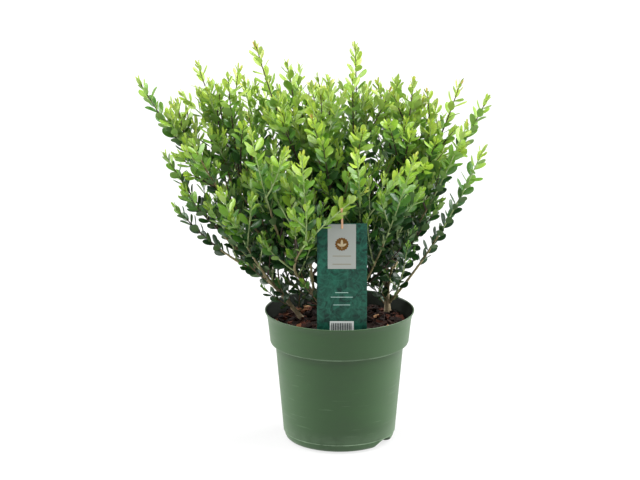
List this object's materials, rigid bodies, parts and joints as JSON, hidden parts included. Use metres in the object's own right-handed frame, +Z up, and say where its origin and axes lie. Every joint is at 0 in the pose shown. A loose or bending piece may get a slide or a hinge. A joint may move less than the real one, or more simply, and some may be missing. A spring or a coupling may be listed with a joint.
{
  "type": "japanese holly shrub in a nursery pot",
  "caption": "Bushy upright evergreen shrub with small oval leaves on long shoots, growing in a round green plastic nursery pot with a card label tied to it.",
  "frame": {"origin": "centre of the pot's flat underside, where it stands", "axes": "+Z up along the pot's axis; the label faces -Y and +X is to its viewer's right"},
  "size_m": [0.4461, 0.3056, 0.5211],
  "materials": {
    "pot": "satin injection-moulded polypropylene",
    "soil": "moist bark mulch",
    "label": "coated printed card",
    "loop": "matt elastic band",
    "bark": "thin grey-brown bark",
    "foliage": "glossy small leaves"
  },
  "bodies": {
    "root": {"pot": "pot", "soil": "soil", "label": "label", "label_loop": "loop", "stem_left": "bark", "stem_low_left": "bark", "stem_centre": "bark", "stem_right": "bark", "bough_far_left": "bark", "bough_upper_left": "bark", "bough_back_left": "bark", "bough_front_left": "bark", "bough_low_front": "bark", "bough_inner_left": "bark", "bough_low_left": "bark", "bough_lowest_left": "bark", "bough_front_low_left": "bark", "bough_low_back_left": "bark", "bough_tall_centre": "bark", "bough_tall_left": "bark", "bough_top_left": "bark", "bough_top_middle": "bark", "bough_back_centre": "bark", "bough_front_centre": "bark", "bough_low_back": "bark", "bough_front_right": "bark", "bough_tall_right": "bark", "bough_upper_right": "bark", "bough_far_right": "bark", "bough_back_right": "bark", "bough_right_front": "bark", "bough_low_back_right": "bark", "bough_inner_right": "bark", "bough_low_right": "bark", "mass_far_left": "foliage", "mass_upper_left": "foliage", "mass_back_left": "foliage", "mass_front_left": "foliage", "mass_low_front": "foliage", "mass_inner_left": "foliage", "mass_low_left": "foliage", "mass_lowest_left": "foliage", "mass_front_low_left": "foliage", "mass_low_back_left": "foliage", "mass_tall_centre": "foliage", "mass_tall_left": "foliage", "mass_top_left": "foliage", "mass_top_middle": "foliage", "mass_back_centre": "foliage", "mass_front_centre": "foliage", "mass_low_back": "foliage", "mass_front_right": "foliage", "mass_tall_right": "foliage", "mass_upper_right": "foliage", "mass_far_right": "foliage", "mass_back_right": "foliage", "mass_right_front": "foliage", "mass_low_back_right": "foliage", "mass_inner_right": "foliage", "mass_low_right": "foliage"}
  },
  "joints": []
}
